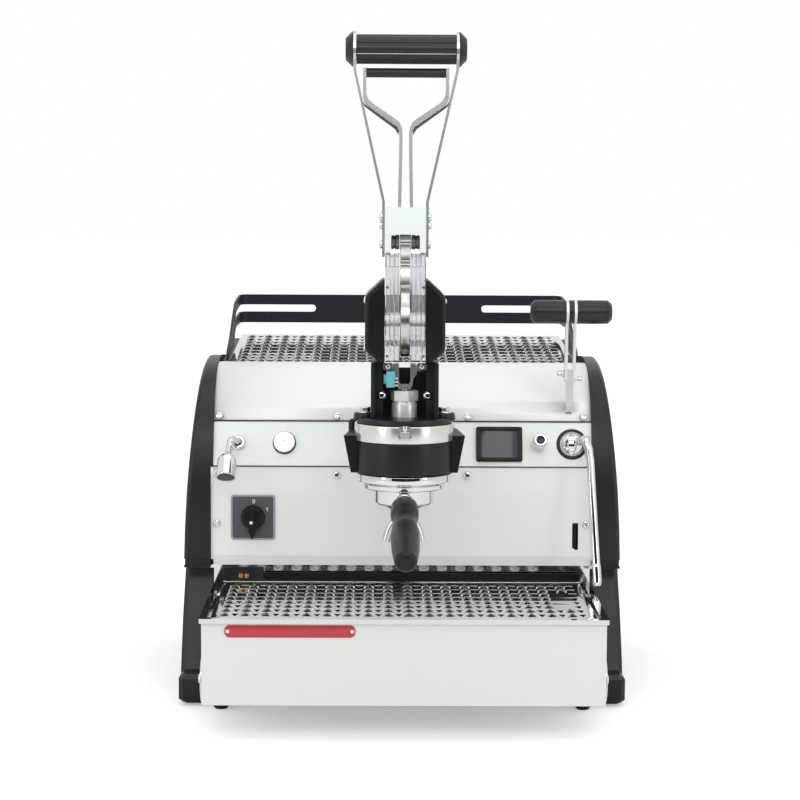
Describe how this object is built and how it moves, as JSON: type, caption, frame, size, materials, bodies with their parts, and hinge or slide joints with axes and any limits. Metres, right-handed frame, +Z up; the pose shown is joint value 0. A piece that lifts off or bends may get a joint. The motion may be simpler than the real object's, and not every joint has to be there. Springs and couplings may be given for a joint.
{
  "type": "lever espresso machine",
  "caption": "Countertop espresso machine with an open lever group, perforated drip grate and cup shelf, steam wand, hot water spout and black side frames.",
  "frame": {"origin": "centre of the overall footprint, on the bench under the feet", "axes": "+X to the right seen from the front, +Y from the lever side towards the back, +Z up"},
  "size_m": [0.5332, 0.712, 0.791],
  "materials": {
    "black_frame": "satin black powder coat on cast metal",
    "black_sheet": "satin black powder coat",
    "polished_steel": "polished",
    "satin_steel": "fine satin grain",
    "chrome": "bright",
    "bright_block": "milled, light satin",
    "brass": "plain",
    "rubber": "matt",
    "grip": "satin",
    "clear": "clear, polished",
    "teal": "satin",
    "grey": "satin dark grey"
  },
  "bodies": {
    "machine": {"base_pan": "satin_steel", "front_base_panel": "satin_steel", "front_left_foot": "rubber", "front_right_foot": "rubber", "rear_left_foot": "rubber", "rear_right_foot": "rubber", "left_base_side": "black_frame", "right_base_side": "black_frame", "left_body_side": "black_frame", "right_body_side": "black_frame", "drip_basin": "polished_steel", "deck_plate": "satin_steel", "splash_wall": "polished_steel", "lower_panel": "satin_steel", "control_panel": "satin_steel", "upper_panel": "polished_steel", "cup_well": "black_sheet", "rear_panel": "satin_steel", "cup_rail": "black_sheet", "group_head": "polished_steel", "group_band": "black_frame", "group_bell": "chrome", "shower_screen": "polished_steel", "spring_cylinder": "polished_steel", "left_clear_cover": "clear", "right_clear_cover": "clear", "left_side_cover": "black_frame", "right_side_cover": "black_frame", "pivot_shaft": "polished_steel", "lever_bracket": "black_sheet", "pressure_sensor": "teal", "display": "grip", "steam_socket": "brass", "water_flange": "chrome", "switch_plate": "grey", "steam_valve": "brass", "steam_boiler": "polished_steel", "brew_boiler": "polished_steel", "water_pump": "grey", "control_box": "black_sheet"},
    "lever": {"cam_wheel": "polished_steel", "yoke_block": "bright_block", "left_lever_arm": "polished_steel", "right_lever_arm": "polished_steel", "lever_grip": "grip"},
    "trigger": {"lever_trigger": "grip"},
    "piston": {"piston_rod": "polished_steel"},
    "portafilter": {"portafilter_body": "chrome", "portafilter_basket": "polished_steel", "portafilter_handle": "grip"},
    "steam ball": {"steam_ball": "chrome"},
    "steam wand": {"steam_wand": "polished_steel"},
    "steam lever": {"steam_lever": "polished_steel", "steam_lever_grip": "grip"},
    "water spout": {"hot_water_spout": "polished_steel"},
    "water button": {"hot_water_button": "satin_steel"},
    "menu button": {"menu_button": "chrome"},
    "power knob": {"power_knob": "grip"},
    "grate": {"drip_grate": "polished_steel"},
    "cup shelf": {"cup_tray": "polished_steel"}
  },
  "joints": [
    {"name": "lever_pull", "type": "hinge", "parent": "machine", "child": "lever", "pos_m": [0, -0.144, 0.4665], "axis": [1, 0, 0], "range_deg": [0, 100], "stiffness_Nm_per_rad": 3, "springref_deg": -57.3},
    {"name": "piston_slide", "type": "slide", "parent": "machine", "child": "piston", "axis": [0, 0, 1], "range_m": [0, 0.026]},
    {"name": "trigger_squeeze", "type": "slide", "parent": "lever", "child": "trigger", "axis": [0, 0, 1], "range_m": [0, 0.004], "stiffness_N_per_m": 300, "springref_m": -0.01},
    {"name": "portafilter_turn", "type": "hinge", "parent": "machine", "child": "portafilter", "pos_m": [0, -0.144, 0.265], "axis": [0, 0, 1], "range_deg": [-45, 0]},
    {"name": "steam_ball_roll", "type": "hinge", "parent": "machine", "child": "steam ball", "pos_m": [0.2055, 0.00234, 0.30684], "axis": [0, -0.9516, 0.3074], "range_deg": [-25, 25]},
    {"name": "steam_wand_tilt", "type": "hinge", "parent": "steam ball", "child": "steam wand", "pos_m": [0.2055, 0.00234, 0.30684], "axis": [1, 0, 0], "range_deg": [-45, 5]},
    {"name": "steam_lever_pull", "type": "hinge", "parent": "machine", "child": "steam lever", "pos_m": [0.202, 0.022, 0.343], "axis": [1, 0, 0], "range_deg": [0, 30]},
    {"name": "water_spout_swing", "type": "hinge", "parent": "machine", "child": "water spout", "pos_m": [-0.1995, -0.00319, 0.30926], "axis": [0, -0.9516, 0.3074], "range_deg": [-30, 30]},
    {"name": "water_button_press", "type": "slide", "parent": "machine", "child": "water button", "axis": [0, 0.9516, -0.3074], "range_m": [0, 0.003], "stiffness_N_per_m": 400, "springref_m": -0.003},
    {"name": "menu_button_press", "type": "slide", "parent": "machine", "child": "menu button", "axis": [0, 0.9516, -0.3074], "range_m": [0, 0.003], "stiffness_N_per_m": 400, "springref_m": -0.003},
    {"name": "power_knob_turn", "type": "hinge", "parent": "machine", "child": "power knob", "pos_m": [-0.181, -0.014, 0.2188], "axis": [0, -1, 0], "range_deg": [-60, 0]},
    {"name": "grate_lift", "type": "slide", "parent": "machine", "child": "grate", "axis": [0, 0, 1], "range_m": [0, 0.025]},
    {"name": "cup_shelf_lift", "type": "slide", "parent": "machine", "child": "cup shelf", "axis": [0, 0, 1], "range_m": [0, 0.03]}
  ],
  "couplings": [
    {"joint": "piston_slide", "follows": "lever_pull", "m_per_rad": 0.0148}
  ]
}
